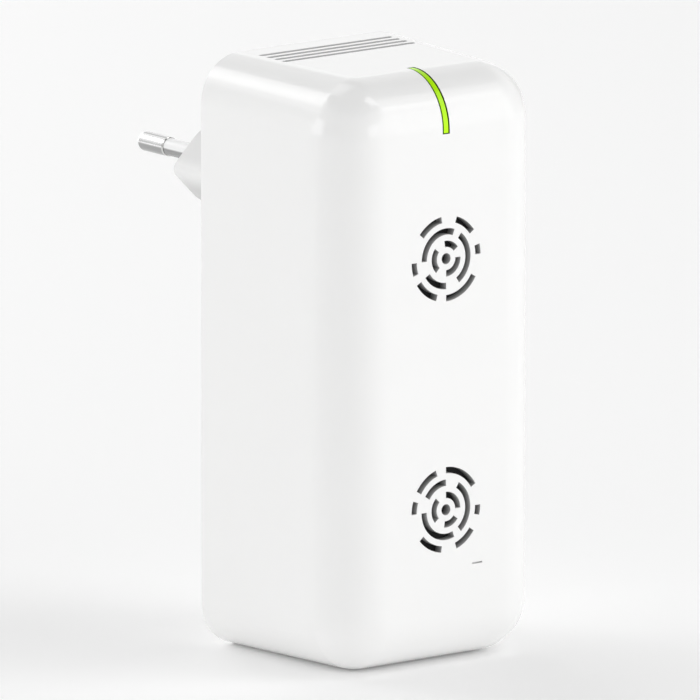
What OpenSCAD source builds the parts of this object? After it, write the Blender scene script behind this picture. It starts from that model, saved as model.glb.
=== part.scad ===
// Plug-in ultrasonic pest repeller: a tall rounded housing that hangs on a
// wall socket by its own two pins, with two tweeters behind round grilles.
//
// Frame: the origin is midway between the two plug pins, on the engagement
// face where the pins leave the plug boss.  +Z is up, the pins point along
// +Y into the wall, and the front face looks along -Y.

/* [Housing] */
// Width of the housing at its rear edge
body_w = 54.3; // [52:0.1:58]
// Height of the housing at its rear edge
body_h = 122; // [118:0.5:130]
// Depth from the front face to the rear face
body_d = 45.6; // [44:0.1:50]
// Width that the mould draft takes off by the front rounding
draft_w = 2.3; // [0:0.1:3]
// Height that the mould draft takes off by the front rounding
draft_h = 0.5; // [0:0.1:1]
// Radius of the rounding all round the front face
front_r = 11.1; // [10:0.1:12]
// Corner radius of the rear outline
rear_r = 9.6; // [9:0.1:11]
// Thickness of the moulded walls
wall = 2; // [1.8:0.1:2.2]

/* [Grilles] */
// Height of the upper grille's centre above the base
grille_high = 84.4; // [80:0.1:88]
// Height of the lower grille's centre above the base
grille_low = 32.8; // [30:0.1:36]
// Inner radius of the outer ring of slots
ring_3 = 7.5; // [7.2:0.1:7.6]
// Inner radius of the middle ring of slots
ring_2 = 4.95; // [4.8:0.05:5.1]
// Inner radius of the inner ring of slots
ring_1 = 2.4; // [2.2:0.1:2.5]
// Width of the ring slots
slot_w = 1.25; // [1:0.05:1.4]
// Radius of the hole in the middle
centre_hole_r = 1.1; // [0.8:0.1:1.3]

/* [Vents and indicator] */
// Number of cooling slots in the top
vent_count = 4; // [2:1:4]
// Length of a cooling slot
vent_l = 33.6; // [28:0.2:36]
// Width of a cooling slot
vent_w = 1.3; // [1:0.1:1.5]
// Spacing of the cooling slots
vent_pitch = 2.55; // [2.3:0.05:2.7]
// Distance of the first cooling slot behind the front face
vent_start = 31.9; // [30:0.1:33]
// Width of the light pipe
pipe_w = 1.35; // [1.2:0.05:2]
// Gap on each side of the light pipe
pipe_gap = 0.22; // [0.1:0.02:0.3]
// Straight run of the light pipe past each end of the rounding
pipe_run = 0.5; // [0.3:0.1:1.5]

/* [Plug] */
// Height of the pins above the base
pin_z = 96.3; // [94:0.1:98]
// Distance between the pins
pin_pitch = 19; // [18.6:0.1:19.2]
// Free length of a pin
pin_l = 19; // [18.5:0.5:19.5]
// Radius of the bare end of a pin
pin_r = 2; // [1.95:0.05:2.05]
// Length of the insulating sleeve on a pin
sleeve_l = 10; // [9:0.5:11]
// Radius of the insulating sleeve
sleeve_r = 1.8; // [1.7:0.05:1.8]
// How far the plug boss stands out of the rear cover
boss_d = 23.4; // [20:0.1:26]
// How far the middle of the boss lies below the pins
boss_drop = 2.2; // [2:0.1:2.6]

/* [Tweeters] */
// Radius of the basket flange
flange_r = 15.5; // [15:0.1:16]
// Thickness of the foam gasket
gasket_t = 2; // [1.5:0.1:2.2]
// Distance of the basket screws from the axis
ear_r = 17.5; // [17.3:0.1:18]

/* [Hidden] */
y_rear = -boss_d;
y_front = y_rear - body_d;
z_base = -pin_z;
z_mid = z_base + body_h / 2;
z_high = z_base + grille_high;
z_low = z_base + grille_low;

// Centres of the balls that round the front corners
ball_x = (body_w - draft_w) / 2 - front_r;
ball_z = (body_h - draft_h) / 2 - front_r;
ball_y = y_front + front_r;
z_ball_top = z_mid + ball_z;

// Rear cover: fit in the shell, plate, lip and screw cups
cover_gap = 0.15;
cover_t = 2.2;
lip_t = 1.4;
lip_d = 3;
case_screw_x = 20.5;
case_screw_z = 50;
cup_d = 6;
cup_r = 4;
case_post_r = 3.5;

// Plug boss outline: two small corner circles and two large ones
boss_tip_r = 1.9;
boss_tip_x = 14.6;
boss_flank_r = 8.15;
boss_flank_x = 5.76;
boss_wall = 2;
boss_nose = 10;
boss_flange_y = y_rear - cover_t - 3;
boss_flange_t = 2.2;
boss_flange_w = 45;
boss_flange_h = 20;
boss_screw_x = 19.5;
z_boss = -boss_drop;

// Pin inside the boss: shank, moulded-in flange, solder tail, and their clearance
pin_shank_r = 1.4;
pin_flange_r = 2.2;
pin_tail = 14;
pin_fit = 0.05;

// Board: 1.6 mm laminate on four posts, parallel to the front face
board_y = y_front + 19;
board_t = 1.6;
board_w = 44;
board_h = 92;
board_back = board_y + board_t;
board_screw_x = 19;
board_screw_z = 38;
board_post_r = 2.6;

// Tweeter: the flange sits on the gasket, the cone moves inside the basket
flange_y = y_front + wall + gasket_t;
flange_t = 1.5;
basket_d = 12;
cone_r = 11.7;
cone_tip_r = 3.6;
cone_d = 6.9;
cone_start = 0.5;
paper_t = 0.45;
disc_r = 7;
disc_t = 0.6;
ear_hole_r = 1.1;

// Slots of a grille as [first angle, last angle], seen from the front
outer_slots = [[0, 14], [36, 72], [98, 140], [180, 198], [212, 253], [270, 329]];
middle_slots = [[-58, 52], [70, 180], [212, 270]];
inner_slots = [[36, 97], [140, 226], [270, 360]];

// Short shallow groove near the foot of the front face
mark_x = 8;
mark_z = z_base + 20.9;
mark_w = 2.6;
mark_h = 0.35;
mark_d = 0.6;

eps = 0.5;
sides = [-1, 1];

// ---- outlines -------------------------------------------------------------

function arc(cx, cy, r, from, to, step = 11.25) =
    [for (a = [from:step:to]) [cx + r * cos(a), cy + r * sin(a)]];

// Rounded rectangle about the origin
function round_rect(w, h, r) = concat(
    arc(w / 2 - r, h / 2 - r, r, 0, 90),
    arc(r - w / 2, h / 2 - r, r, 90, 180),
    arc(r - w / 2, r - h / 2, r, 180, 270),
    arc(w / 2 - r, r - h / 2, r, 270, 360));

// Slot with round ends, along X
function slot_outline(l, w) = concat(
    arc(l / 2 - w / 2, 0, w / 2, -90, 90, 22.5),
    arc(w / 2 - l / 2, 0, w / 2, 90, 270, 22.5));

// Flattened hexagon with soft corners, grown by g all round
function boss_outline(g) = concat(
    arc(boss_tip_x, 0, max(boss_tip_r + g, 0.1), -45, 45),
    arc(boss_flank_x, 0, boss_flank_r + g, 45, 90),
    arc(-boss_flank_x, 0, boss_flank_r + g, 90, 135),
    arc(-boss_tip_x, 0, max(boss_tip_r + g, 0.1), 135, 225),
    arc(-boss_flank_x, 0, boss_flank_r + g, 225, 270),
    arc(boss_flank_x, 0, boss_flank_r + g, 270, 315));

// ---- placing --------------------------------------------------------------

// Stands a shape that is drawn along +Z so that it runs along +Y from y
module along_y(x, y, z) {
    translate([x, y, z]) rotate([-90, 0, 0]) children();
}

// Plate with the given outline, upright in XZ, from y to y + t
module upright(y, t, z = 0) {
    translate([0, y + t, z]) rotate([90, 0, 0]) linear_extrude(t) children();
}

module at_corners(x, z) {
    for (sx = sides)
        for (sz = sides)
            translate([sx * x, 0, z_mid + sz * z]) children();
}

// Pan-head screw with its head's underside at the origin, shank along -Y
module screw(head_r, head_t, shank_r, shank_l) {
    difference() {
        union() {
            along_y(0, 0, 0) cylinder(r = head_r, h = head_t, $fn = 32);
            along_y(0, -shank_l, 0) cylinder(r = shank_r, h = shank_l, $fn = 24);
        }
        for (a = [0, 90])
            translate([0, head_t, 0]) rotate([0, a, 0])
                cube([head_r * 1.1, head_t, head_r * 0.25], center = true);
    }
}

// ---- housing --------------------------------------------------------------

module corner_ball(r) {
    rotate_extrude($fn = 32) polygon(arc(0, 0, r, -90, 90));
}

// Outer form of the housing, shrunk by inset and run past its rear face by over
module housing_form(inset, over) {
    hull() {
        for (sx = sides, sz = sides) {
            translate([sx * ball_x, ball_y, z_mid + sz * ball_z])
                corner_ball(front_r - inset);
            along_y(sx * (body_w / 2 - rear_r), y_rear - 1,
                    z_mid + sz * (body_h / 2 - rear_r))
                cylinder(r = rear_r - inset, h = 1 + over, $fn = 32);
        }
    }
}

module ring_slot(r, span) {
    rotate([0, 0, span[0]])
        rotate_extrude(angle = span[1] - span[0], $fn = 96)
            translate([r, 0]) square([slot_w, wall + 2 * eps]);
}

// All the slots of one grille; flip is -1 for the one that is upside down
module grille_cut(z, flip) {
    translate([0, y_front + wall + eps, z]) scale([1, 1, flip]) rotate([90, 0, 0]) {
        for (span = outer_slots) ring_slot(ring_3, span);
        for (span = middle_slots) ring_slot(ring_2, span);
        for (span = inner_slots) ring_slot(ring_1, span);
        cylinder(r = centre_hole_r, h = wall + 2 * eps, $fn = 32);
    }
}

// Strip that follows the rounding between the top and the front face,
// from radius r0 to r1, with a straight run at each end
module rounding_strip(w, r0, r1, run) {
    translate([-w / 2, ball_y, z_ball_top]) {
        rotate([90, 0, 90]) rotate([0, 0, 90])
            rotate_extrude(angle = 90, $fn = 96)
                translate([r0, 0]) square([r1 - r0, w]);
        translate([0, 0, r0]) cube([w, run, r1 - r0]);
        translate([0, -r1, -run]) cube([w, r1 - r0, run]);
    }
}

module front_shell() {
    color("white") difference() {
        union() {
            difference() {
                housing_form(0, 0);
                housing_form(wall, eps);
            }
            at_corners(case_screw_x, case_screw_z)
                along_y(0, y_front + 5.2, 0)
                    cylinder(r = case_post_r, h = body_d - 5.2 - cup_d, $fn = 32);
            at_corners(board_screw_x, board_screw_z)
                along_y(0, y_front + 3.4, 0)
                    cylinder(r = board_post_r, h = board_y - y_front - 3.4, $fn = 32);
            for (z = [z_high, z_low], s = sides)
                along_y(0, y_front + 1, z + s * ear_r)
                    cylinder(r = 2.4, h = flange_y - y_front - 1, $fn = 32);
        }
        grille_cut(z_high, 1);
        grille_cut(z_low, -1);
        rounding_strip(pipe_w + 2 * pipe_gap, front_r - wall - eps, front_r + eps,
                       pipe_run + pipe_gap);
        for (i = [0:vent_count - 1])
            translate([0, y_front + vent_start + i * vent_pitch,
                       z_mid + body_h / 2 - wall - 2 * eps])
                linear_extrude(wall + 4 * eps) polygon(slot_outline(vent_l, vent_w));
        translate([mark_x, y_front, mark_z])
            cube([mark_w, 2 * mark_d, mark_h], center = true);
        at_corners(case_screw_x, case_screw_z)
            along_y(0, y_rear - cup_d - 10, 0) cylinder(r = 1.25, h = 10 + eps, $fn = 24);
        at_corners(board_screw_x, board_screw_z)
            along_y(0, board_y - 8, 0) cylinder(r = 1.05, h = 8 + eps, $fn = 24);
        for (z = [z_high, z_low], s = sides)
            along_y(0, flange_y - 2.8, z + s * ear_r)
                cylinder(r = 0.8, h = 2.8 + eps, $fn = 24);
    }
}

module rear_cover() {
    w = body_w - 2 * (wall + cover_gap);
    h = body_h - 2 * (wall + cover_gap);
    r = rear_r - wall - cover_gap;
    color("whitesmoke") difference() {
        union() {
            upright(y_rear - cover_t, cover_t, z_mid) polygon(round_rect(w, h, r));
            difference() {
                upright(y_rear - cover_t - lip_d, lip_d, z_mid)
                    polygon(round_rect(w - 0.6, h - 0.6, r - 0.3));
                upright(y_rear - cover_t - lip_d - eps, lip_d + eps, z_mid)
                    polygon(round_rect(w - 0.6 - 2 * lip_t, h - 0.6 - 2 * lip_t,
                                       r - 0.3 - lip_t));
            }
            at_corners(case_screw_x, case_screw_z)
                along_y(0, y_rear - cup_d, 0)
                    cylinder(r = cup_r, h = cup_d - 1, $fn = 32);
            for (s = sides)
                along_y(s * boss_screw_x, boss_flange_y, z_boss)
                    cylinder(r = 2.8, h = 3.5, $fn = 32);
        }
        upright(y_rear - cover_t - eps, cover_t + 2 * eps, z_boss)
            polygon(boss_outline(0.1));
        at_corners(case_screw_x, case_screw_z) {
            along_y(0, y_rear - 3.5, 0) cylinder(r = 3.1, h = 3.5 + eps, $fn = 32);
            along_y(0, y_rear - cup_d - eps, 0) cylinder(r = 1.7, h = cup_d, $fn = 24);
        }
        for (s = sides)
            along_y(s * boss_screw_x, boss_flange_y - eps, z_boss)
                cylinder(r = 0.95, h = 4 + eps, $fn = 24);
    }
}

// Acrylic strip with a wider foot inside the shell that keeps it from falling out
module light_pipe() {
    foot_r = front_r - wall - 0.15;
    color("yellowgreen") union() {
        rounding_strip(pipe_w, foot_r - 0.6, front_r, pipe_run);
        translate([-2, ball_y, z_ball_top]) rotate([90, 0, 90]) rotate([0, 0, 100])
            rotate_extrude(angle = 70, $fn = 96)
                translate([foot_r - 1.4, 0]) square([1.4, 4]);
    }
}

// ---- plug -----------------------------------------------------------------

module plug_boss() {
    color("whitesmoke") difference() {
        union() {
            upright(boss_flange_y - boss_flange_t, -boss_flange_y + boss_flange_t, z_boss)
                polygon(boss_outline(0));
            upright(boss_flange_y - boss_flange_t, boss_flange_t, z_boss)
                polygon(round_rect(boss_flange_w, boss_flange_h, 3));
        }
        upright(boss_flange_y - boss_flange_t - eps,
                -boss_flange_y + boss_flange_t + eps - boss_nose, z_boss)
            polygon(boss_outline(-boss_wall));
        for (s = sides) {
            along_y(s * pin_pitch / 2, -4, 0)
                cylinder(r = sleeve_r + pin_fit, h = 4 + eps, $fn = 32);
            along_y(s * pin_pitch / 2, -6 - pin_fit, 0)
                cylinder(r = pin_flange_r + pin_fit, h = 2 + 2 * pin_fit, $fn = 32);
            along_y(s * pin_pitch / 2, -boss_nose - eps, 0)
                cylinder(r = pin_shank_r + pin_fit, h = boss_nose, $fn = 32);
            along_y(s * boss_screw_x, boss_flange_y - boss_flange_t - eps, z_boss)
                cylinder(r = 1.3, h = boss_flange_t + 2 * eps, $fn = 24);
        }
    }
}

module plug_boss_screws() {
    color("silver") for (s = sides)
        translate([s * boss_screw_x, boss_flange_y - boss_flange_t, z_boss])
            mirror([0, 1, 0]) screw(2.2, 1.4, 0.9, 5.8);
}

// Turned brass pin: bare round-nosed end, thin shank under the sleeve,
// flange that is moulded into the boss, and solder tail
module plug_pin(s) {
    nose = 1.2;
    tail_r = 1;
    color("gainsboro") along_y(s * pin_pitch / 2, 0, 0)
        rotate_extrude($fn = 64) polygon(concat(
            [[0, -pin_tail], [tail_r, -pin_tail], [tail_r, -8], [pin_shank_r, -8],
             [pin_shank_r, -6], [pin_flange_r, -6], [pin_flange_r, -4], [pin_shank_r, -4],
             [pin_shank_r, sleeve_l], [pin_r, sleeve_l]],
            arc(pin_r - nose, pin_l - nose, nose, 0, 90, 15),
            [[0, pin_l]]));
}

module plug_pin_left() { plug_pin(-1); }
module plug_pin_right() { plug_pin(1); }

module pin_sleeve(s) {
    color("lightgray") along_y(s * pin_pitch / 2, 0, 0)
        translate([0, 0, -3.9]) difference() {
            cylinder(r = sleeve_r, h = sleeve_l + 3.9, $fn = 64);
            translate([0, 0, -eps])
                cylinder(r = pin_shank_r + pin_fit, h = sleeve_l + 5, $fn = 64);
        }
}

module pin_sleeve_left() { pin_sleeve(-1); }
module pin_sleeve_right() { pin_sleeve(1); }

// Stiff insulated wire from a pin's solder tail to the back of the board
module mains_wire(s) {
    bare_l = 3;
    along_y(s * pin_pitch / 2, board_back, 0) {
        cylinder(r = 0.5, h = bare_l, $fn = 24);
        translate([0, 0, bare_l])
            cylinder(r = 0.9, h = -board_back - pin_tail - bare_l, $fn = 24);
    }
}

module live_wire() { color("saddlebrown") mains_wire(-1); }
module neutral_wire() { color("royalblue") mains_wire(1); }

// ---- board and what is on it ----------------------------------------------

module main_board() {
    color("darkgreen") difference() {
        upright(board_y, board_t, z_mid) polygon(round_rect(board_w, board_h, 1));
        at_corners(board_screw_x, board_screw_z)
            along_y(0, board_y - eps, 0) cylinder(r = 1.4, h = board_t + 2 * eps, $fn = 24);
    }
}

module board_screws() {
    color("silver") at_corners(board_screw_x, board_screw_z)
        translate([0, board_back, 0]) screw(2.3, 1.5, 1, 8);
}

// The transformer's middle, behind the board
module at_transformer() {
    translate([-8, board_back + 8.2, z_mid - 15]) children();
}

module transformer_core() {
    color("dimgray") at_transformer() difference() {
        cube([24, 8, 20], center = true);
        for (s = sides) translate([s * 5, 0, 0]) cube([4, 9, 12], center = true);
    }
}

module transformer_bobbin() {
    color("ivory") at_transformer() difference() {
        union() {
            cube([7.4, 9.4, 10.4], center = true);
            for (s = sides) translate([0, 0, s * 5.5]) cube([13.8, 16.4, 0.8], center = true);
        }
        cube([6.2, 8.2, 13], center = true);
    }
}

module transformer_winding() {
    color("peru") at_transformer() difference() {
        cube([13.2, 15.6, 10], center = true);
        cube([7.5, 9.5, 11], center = true);
    }
}

module film_capacitor() {
    color("gold") translate([-18, board_back, z_mid + 12])
        cube([17, 8, 13]);
}

module electrolytic_capacitors() {
    color("midnightblue") {
        along_y(13, board_back, z_mid - 6) cylinder(r = 5, h = 16, $fn = 48);
        along_y(13, board_back, z_mid - 19) cylinder(r = 4, h = 11.5, $fn = 48);
    }
}

module fuse() {
    color("black") along_y(13, board_back, z_mid + 25) cylinder(r = 4.2, h = 7.5, $fn = 48);
}

module varistor() {
    color("royalblue") translate([4, board_back + 4.02, z_mid + 21]) rotate([0, 90, 0])
        cylinder(r = 4, h = 3.6, $fn = 48);
}

module bridge_rectifier() {
    color("black") translate([9, board_back, z_mid + 6]) cube([8.4, 3.4, 6.4]);
}

module controller_chip() {
    color("black") translate([-9, board_back, z_mid - 39.5]) {
        translate([0, 0.6, 0.6]) cube([18, 3.3, 6.3]);
        for (i = [0:6], side = [0, 7.2])
            translate([1.1 + i * 2.54, 0, side - 0.3]) cube([0.5, 2.4, 0.9]);
    }
}

// Row of four transistors in their half-round cases, flat side up
module drive_transistors() {
    case_r = 2.3;
    case_l = 4.6;
    color("black") for (i = [0:3])
        translate([-10.5 + i * 7, board_back, z_mid - 28.2]) difference() {
            along_y(0, 0, 0) cylinder(r = case_r, h = case_l, $fn = 32);
            translate([-case_r - eps, -eps, 1.2])
                cube([2 * case_r + 2 * eps, case_l + 2 * eps, case_r]);
        }
}

// Two columns of three, between the mains wires
module resistors() {
    color("tan") for (i = [0:5])
        translate([-7.4 + i % 2 * 8.3, board_back + 1.22, z_mid + 31 + floor(i / 2) * 4])
            rotate([0, 90, 0]) cylinder(r = 1.2, h = 6.5, $fn = 24);
}

// The lamp looks at the light pipe's foot at 45 degrees
module at_led() {
    translate([0, ball_y, z_ball_top]) rotate([45, 0, 0]) children();
}

module indicator_led() {
    color("lime") at_led() {
        translate([0, 0, 1.6]) cylinder(r = 1.9, h = 0.8, $fn = 32);
        translate([0, 0, 2.4]) cylinder(r = 1.5, h = 2.6, $fn = 32);
        translate([0, 0, 5]) intersection() {
            sphere(r = 1.5, $fn = 32);
            translate([-2, -2, 0]) cube(4);
        }
    }
}

module led_legs() {
    reach = (board_y - ball_y) * sqrt(2);
    color("silver") difference() {
        at_led() for (s = sides)
            translate([s * 1.27 - 0.25, -0.25, -reach - 1]) cube([0.5, 0.5, reach + 2.6]);
        translate([-5, board_y, z_ball_top - 20]) cube([10, 5, 20]);
    }
}

// ---- tweeters -------------------------------------------------------------

module gasket(z) {
    color("dimgray") along_y(0, y_front + wall, z) difference() {
        cylinder(r = 14.8, h = gasket_t, $fn = 96);
        translate([0, 0, -eps]) cylinder(r = 11.5, h = gasket_t + 2 * eps, $fn = 96);
    }
}

module dust_screen(z) {
    color("black") along_y(0, y_front + wall, z) cylinder(r = 11.2, h = 0.3, $fn = 96);
}

// Moulded basket: flange with two ears, conical wall and closed back
module basket(z) {
    color("darkslategray") along_y(0, flange_y, z) difference() {
        union() {
            rotate_extrude($fn = 96) polygon(
                [[12.2, 0], [flange_r, 0], [flange_r, flange_t], [13.6, flange_t],
                 [9.5, 8.4], [9.5, basket_d], [0, basket_d], [0, 10.8], [8.3, 10.8],
                 [8.3, 7.9], [12.2, 1.3]]);
            for (s = sides) translate([0, s * ear_r, 0]) cylinder(r = 2.4, h = flange_t, $fn = 32);
            for (s = sides) translate([-2.4, s * (ear_r - 1.6) - 1.6, 0])
                cube([4.8, 3.2, flange_t]);
        }
        for (s = sides) translate([0, s * ear_r, -eps])
            cylinder(r = ear_hole_r, h = flange_t + 2 * eps, $fn = 24);
        for (s = sides) translate([s * 4, 0, 10]) cylinder(r = 0.45, h = 3, $fn = 24);
    }
}

// Paper cone, open to the front and closed where the piezo disc is glued on
module cone(z) {
    color("black") along_y(0, flange_y + cone_start, z) rotate_extrude($fn = 96) polygon(
        [[0, cone_d], [cone_tip_r, cone_d], [cone_r, paper_t], [cone_r, 0],
         [cone_r - paper_t, 0], [cone_tip_r - 0.2, cone_d - paper_t], [0, cone_d - paper_t]]);
}

module piezo_disc(z) {
    color("goldenrod") along_y(0, flange_y + cone_start + cone_d, z)
        cylinder(r = disc_r, h = disc_t, $fn = 64);
}

module upper_gasket() { gasket(z_high); }
module lower_gasket() { gasket(z_low); }
module upper_dust_screen() { dust_screen(z_high); }
module lower_dust_screen() { dust_screen(z_low); }
module upper_basket() { basket(z_high); }
module lower_basket() { basket(z_low); }
module upper_cone() { cone(z_high); }
module lower_cone() { cone(z_low); }
module upper_piezo_disc() { piezo_disc(z_high); }
module lower_piezo_disc() { piezo_disc(z_low); }

// Stiff leads from the baskets' backs to the front of the board
module speaker_leads() {
    y = flange_y + 10.9;
    color("silver") for (z = [z_high, z_low], s = sides)
        along_y(s * 4, y, z) cylinder(r = 0.4, h = board_y - y, $fn = 24);
}

module speaker_screws() {
    color("silver") for (z = [z_high, z_low], s = sides)
        translate([0, flange_y + flange_t, z + s * ear_r]) screw(2, 1.2, 0.75, 4);
}

module case_screws() {
    color("silver") at_corners(case_screw_x, case_screw_z)
        translate([0, y_rear - 3.5, 0]) screw(2.8, 1.8, 1.2, 11);
}

front_shell();
rear_cover();
light_pipe();
plug_boss();
plug_boss_screws();
plug_pin_left();
plug_pin_right();
pin_sleeve_left();
pin_sleeve_right();
live_wire();
neutral_wire();
main_board();
board_screws();
transformer_core();
transformer_bobbin();
transformer_winding();
film_capacitor();
electrolytic_capacitors();
fuse();
varistor();
bridge_rectifier();
controller_chip();
drive_transistors();
resistors();
indicator_led();
led_legs();
upper_gasket();
lower_gasket();
upper_dust_screen();
lower_dust_screen();
upper_basket();
lower_basket();
upper_cone();
lower_cone();
upper_piezo_disc();
lower_piezo_disc();
speaker_leads();
speaker_screws();
case_screws();
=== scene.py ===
import math

import bmesh
import bpy
from mathutils import Matrix, Vector


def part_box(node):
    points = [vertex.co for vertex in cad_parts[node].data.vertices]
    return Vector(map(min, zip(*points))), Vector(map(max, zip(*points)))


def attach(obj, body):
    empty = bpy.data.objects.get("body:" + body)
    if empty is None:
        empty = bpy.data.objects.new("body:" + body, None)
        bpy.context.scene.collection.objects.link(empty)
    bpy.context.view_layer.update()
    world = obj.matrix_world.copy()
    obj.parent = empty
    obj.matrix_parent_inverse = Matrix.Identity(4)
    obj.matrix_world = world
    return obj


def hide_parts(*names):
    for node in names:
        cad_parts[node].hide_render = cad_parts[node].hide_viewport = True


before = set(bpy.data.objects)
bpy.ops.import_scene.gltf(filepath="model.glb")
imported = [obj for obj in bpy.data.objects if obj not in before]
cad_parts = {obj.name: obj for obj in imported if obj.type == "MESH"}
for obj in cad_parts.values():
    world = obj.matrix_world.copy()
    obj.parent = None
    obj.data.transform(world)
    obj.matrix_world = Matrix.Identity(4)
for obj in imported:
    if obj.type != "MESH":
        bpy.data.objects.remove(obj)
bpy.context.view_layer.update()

# ---- Camera, floor and light ------------------------------------------------
# The repeller is looked at from its front left and a little above, through a long lens,
# so that its upright edges stay parallel.  It stands on a plain white floor in a studio
# with pale walls and a dark ceiling.  Soft boxes stand in front, beside and behind it, and
# a row of small ones above draws the gleam along the front edge.

shell_low, shell_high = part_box("front_shell")
shell_middle = (shell_low + shell_high) / 2

view_lens = 1112
view_turn = math.radians(37.8)
view_rise = math.radians(11.55)
view_distance = 4.37
view_slide = -0.00536
view_lift = 0.00096

towards_camera = Vector((
    -math.sin(view_turn) * math.cos(view_rise),
    -math.cos(view_turn) * math.cos(view_rise),
    math.sin(view_rise),
))
view_right = Vector((math.cos(view_turn), -math.sin(view_turn), 0))
view_up = towards_camera.cross(view_right)

camera = bpy.data.objects.new("camera", bpy.data.cameras.new("camera"))
camera.data.lens = view_lens
camera.location = (shell_middle + view_right * view_slide + view_up * view_lift
                   + towards_camera * view_distance)
camera.rotation_euler = towards_camera.to_track_quat("Z", "Y").to_euler()
bpy.context.scene.collection.objects.link(camera)
bpy.context.scene.camera = camera
bpy.context.scene.view_settings.view_transform = "Standard"

# Each soft box: its name, which way it stands from the repeller, its side and its watts.
lamp_distance = 1.6
soft_boxes = [
    ("key_lamp", (0.66, -0.72, 0.2), 1.0, 3.8),
    ("front_lamp", (0.1, -0.99, 0.1), 0.8, 4.1),
    ("edge_lamp_high", (0.32, -0.37, 0.88), 0.5, 2.5),
    ("edge_lamp_middle", (0.6, -0.41, 0.69), 0.5, 0.95),
    ("edge_lamp_low", (0.6, -0.56, 0.57), 0.4, 0.6),
    ("back_lamp", (0.1, 0.97, 0.2), 0.8, 3.5),
    ("back_lamp_left", (-0.3, 0.72, 0.63), 0.5, 1.6),
    ("back_lamp_middle", (-0.45, 0.65, 0.6), 0.65, 1.4),
    ("back_lamp_high", (0, 0.5, 0.87), 0.8, 2.8),
    ("back_lamp_low", (0.6, 0.77, 0.2), 0.8, 1.0),
    ("side_lamp", (-0.85, 0.5, 0.15), 0.8, 4.6),
]
for name, direction, size, watts in soft_boxes:
    light = bpy.data.objects.new(name, bpy.data.lights.new(name, "AREA"))
    light.data.size = size
    light.data.energy = watts
    away = Vector(direction).normalized()
    light.location = shell_middle + away * lamp_distance
    light.rotation_euler = away.to_track_quat("Z", "Y").to_euler()
    bpy.context.scene.collection.objects.link(light)

floor_side = 16
bpy.ops.object.select_all(action="DESELECT")
bpy.ops.mesh.primitive_plane_add(size=floor_side, location=(0, 0, shell_low.z))
floor = bpy.context.active_object
floor.name = "floor"


class Signal:
    """What leaves a shader node.  It adds, subtracts and multiplies as a number does."""

    def __init__(self, tree, socket):
        self.tree = tree
        self.socket = socket

    def node(self, kind, settings=None, sockets=None, output=0):
        """Adds a node, with its settings first and then its sockets' values or links."""
        made = self.tree.nodes.new("ShaderNode" + kind)
        for name, value in (settings or {}).items():
            setattr(made, name, value)
        for name, value in (sockets or {}).items():
            if isinstance(value, Signal):
                self.tree.links.new(value.socket, made.inputs[name])
            else:
                made.inputs[name].default_value = value
        return Signal(self.tree, made.outputs[output])

    def math(self, operation, first, second):
        return self.node("Math", {"operation": operation}, {0: first, 1: second})

    def __add__(self, other):
        return self.math("ADD", self, other)

    def __sub__(self, other):
        return self.math("SUBTRACT", self, other)

    def __rsub__(self, other):
        return self.math("SUBTRACT", other, self)

    def __mul__(self, other):
        return self.math("MULTIPLY", self, other)

    __radd__ = __add__
    __rmul__ = __mul__

    def noise(self, scale, detail=2.0):
        """Soft noise around 0.5, read at this place."""
        return self.node("TexNoise", None, {"Vector": self, "Scale": scale, "Detail": detail})

    def ramp(self, low, high):
        """Goes from 0 to 1 as this signal goes from low to high, with soft ends."""
        return self.node("MapRange", {"interpolation_type": "SMOOTHSTEP"},
                         {"Value": self, "From Min": low, "From Max": high})

    def tint(self, low, high):
        """Goes from one colour to the other as this signal goes from 0 to 1."""
        return self.blend((*low, 1), (*high, 1))

    def blend(self, low, high):
        """The same between two colours with their alpha, or two signals of colour."""
        return self.node("Mix", {"data_type": "RGBA"}, {0: self, 6: low, 7: high}, 2)

    def part(self, axis):
        """One coordinate of a place: 0 for x, 1 for y and 2 for z."""
        return self.node("SeparateXYZ", None, {0: self}, axis)

    def stretched(self, scale):
        return self.node("Mapping", None, {"Vector": self, "Scale": scale})

    def wave(self, length):
        """A sine wave of this length, between 0 and 1."""
        return self.math("SINE", self * (2 * math.pi / length), 0) * 0.5 + 0.5

    def bump(self, depth, strength=1.0):
        """Surface relief with this signal as its height."""
        return self.node("Bump", None,
                         {"Height": self, "Distance": depth, "Strength": strength})

    def feeds(self, shader, name):
        self.tree.links.new(self.socket, shader.inputs[name])


def new_finish(name, roughness, **constants):
    """A material, its shader with what is constant set, and its Object coordinates."""
    material = bpy.data.materials.new(name)
    material.use_nodes = True
    shader = material.node_tree.nodes["Principled BSDF"]
    shader.inputs["Roughness"].default_value = roughness
    for socket, value in constants.items():
        shader.inputs[socket.replace("_", " ")].default_value = value
    coordinates = material.node_tree.nodes.new("ShaderNodeTexCoord")
    return material, shader, Signal(material.node_tree, coordinates.outputs["Object"])


def dress(piece, material):
    piece.data.materials.clear()
    piece.data.materials.append(material)


def floor_paint():
    """Matt white light table, which glows a little, with the faintest clouding."""
    material, shader, place = new_finish("floor_paint", 0.9, Emission_Strength=0.05,
                                         Emission_Color=(1, 1, 1, 1))
    place.noise(1.5).tint((0.965, 0.965, 0.965), (0.98, 0.98, 0.98)).feeds(shader, "Base Color")
    return material


def studio_walls():
    """Pale walls all round, brightest a little above the floor, under a dark ceiling."""
    world = bpy.data.worlds.new("studio")
    world.use_nodes = True
    tree = world.node_tree
    way = Signal(tree, tree.nodes.new("ShaderNodeTexCoord").outputs["Generated"])
    height = way.part(2)
    walls = height.ramp(0.12, 0.38) * 0.37 + 0.56
    (walls - height.ramp(0.57, 0.83) * 0.83).feeds(tree.nodes["Background"], "Color")
    return world


dress(floor, floor_paint())
bpy.context.scene.world = studio_walls()

# ---- Front shell ------------------------------------------------------------
# One deep injection moulding in glossy white ABS: front, sides, top and foot, 2 mm thick.
# Its front edge is fully rounded, and the mould's draft makes the front a little smaller
# than the back.  Posts behind the face take the screws of the cover, board and tweeters.

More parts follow.
